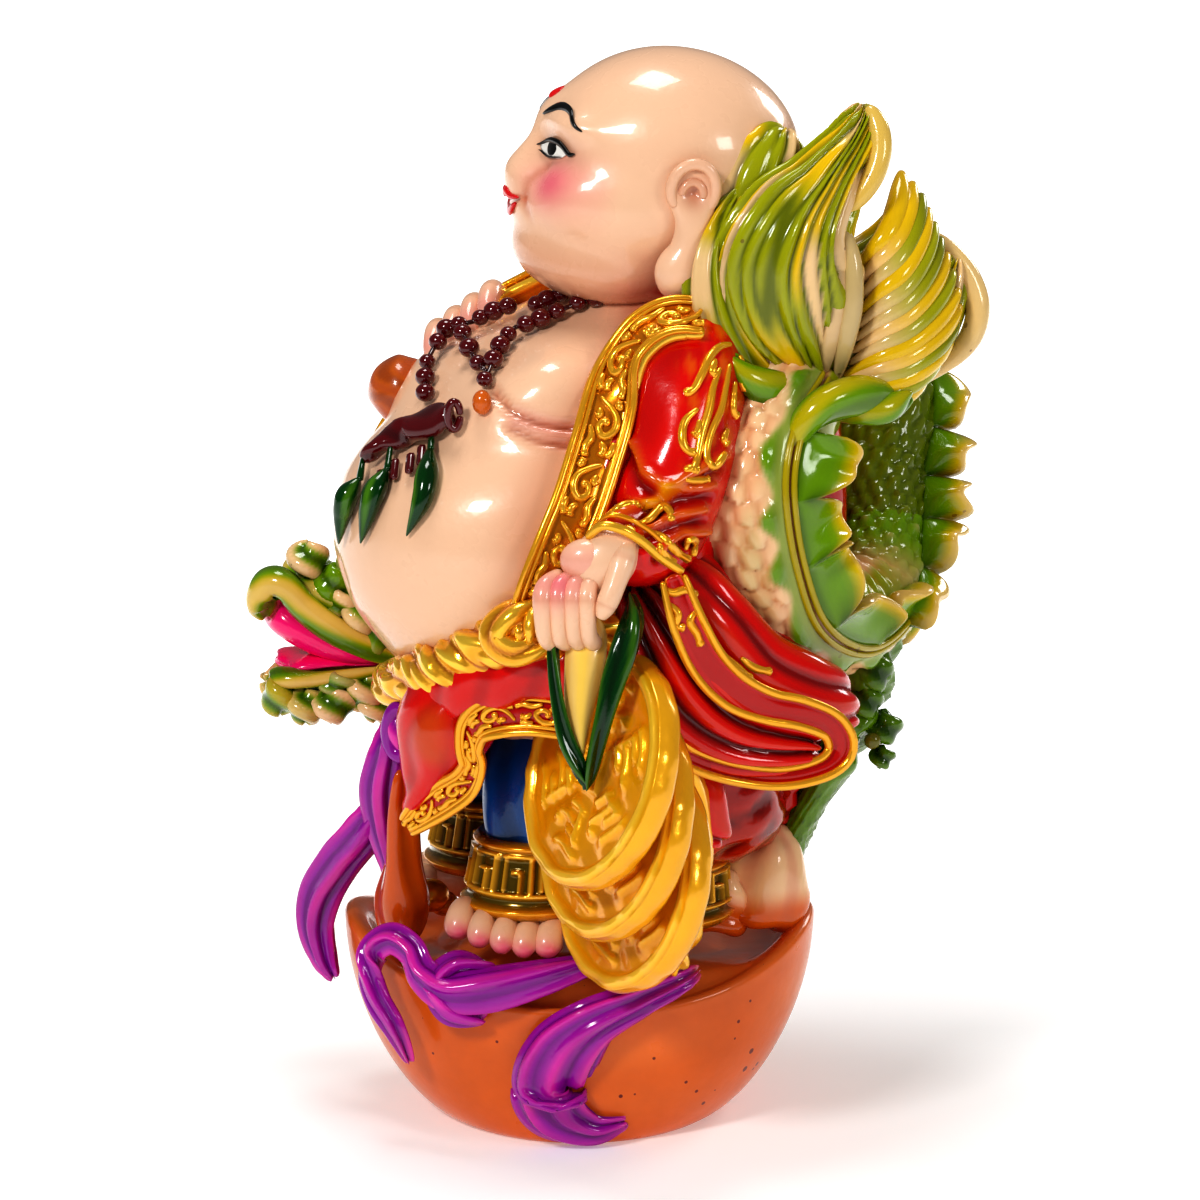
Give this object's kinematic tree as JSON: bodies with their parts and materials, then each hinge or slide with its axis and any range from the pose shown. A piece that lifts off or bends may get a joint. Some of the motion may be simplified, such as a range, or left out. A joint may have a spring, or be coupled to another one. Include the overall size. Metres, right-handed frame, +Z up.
{
  "type": "budai figurine",
  "caption": "Painted cast-resin figurine of a laughing monk wrapped by a dragon, standing on a gold ingot and holding a string of coins.",
  "frame": {"origin": "centre of the ingot's flat underside", "axes": "+Z up; X along the ingot from tip to tip, with the monk facing -X turned towards -Y; the picture looks along +Y"},
  "size_m": [0.1715, 0.1378, 0.251],
  "materials": {
    "painted_resin": "gloss",
    "skin_paint": "gloss",
    "red_paint": "gloss",
    "gold_paint": "gloss",
    "orange_paint": "gloss",
    "green_paint": "gloss",
    "purple_paint": "gloss",
    "blue_paint": "gloss",
    "maroon_paint": "gloss",
    "amber_paint": "gloss"
  },
  "bodies": {
    "root": {"figure": "painted_resin"}
  },
  "joints": []
}
